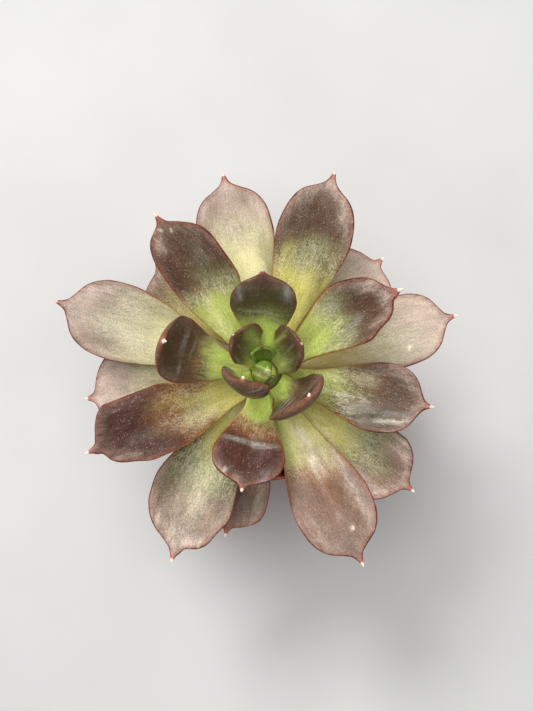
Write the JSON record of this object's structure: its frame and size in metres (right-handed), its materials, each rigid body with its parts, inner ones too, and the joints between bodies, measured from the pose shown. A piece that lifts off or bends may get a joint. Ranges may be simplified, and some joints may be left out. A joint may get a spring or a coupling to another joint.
{
  "type": "potted echeveria",
  "caption": "Potted echeveria succulent: a leaning rosette of pointed fleshy leaves on a short stem, in a tapered terracotta-coloured plastic pot of potting mix.",
  "frame": {"origin": "centre of the pot's flat underside, where it rests", "axes": "+Z up along the pot's axis; seen from above, +X points right and +Y up in the picture; the rosette leans 5 degrees towards -Y"},
  "size_m": [0.1265, 0.1234, 0.1161],
  "materials": {
    "pot": "satin",
    "potting_mix": "matte",
    "stem": "matte",
    "outer_leaf": "satin",
    "upper_leaf": "satin",
    "heart": "satin"
  },
  "bodies": {
    "root": {"pot": "pot", "potting_mix": "potting_mix", "stem": "stem", "leaf_01": "outer_leaf", "leaf_02": "outer_leaf", "leaf_03": "outer_leaf", "leaf_04": "outer_leaf", "leaf_05": "outer_leaf", "leaf_06": "outer_leaf", "leaf_07": "outer_leaf", "leaf_08": "outer_leaf", "leaf_09": "outer_leaf", "leaf_10": "upper_leaf", "leaf_11": "upper_leaf", "leaf_12": "upper_leaf", "leaf_13": "upper_leaf", "leaf_14": "upper_leaf", "leaf_15": "upper_leaf", "leaf_16": "upper_leaf", "leaf_17": "upper_leaf", "leaf_18": "upper_leaf", "leaf_19": "upper_leaf", "leaf_20": "upper_leaf", "leaf_21": "upper_leaf", "leaf_22": "upper_leaf", "heart_leaves": "heart"}
  },
  "joints": []
}
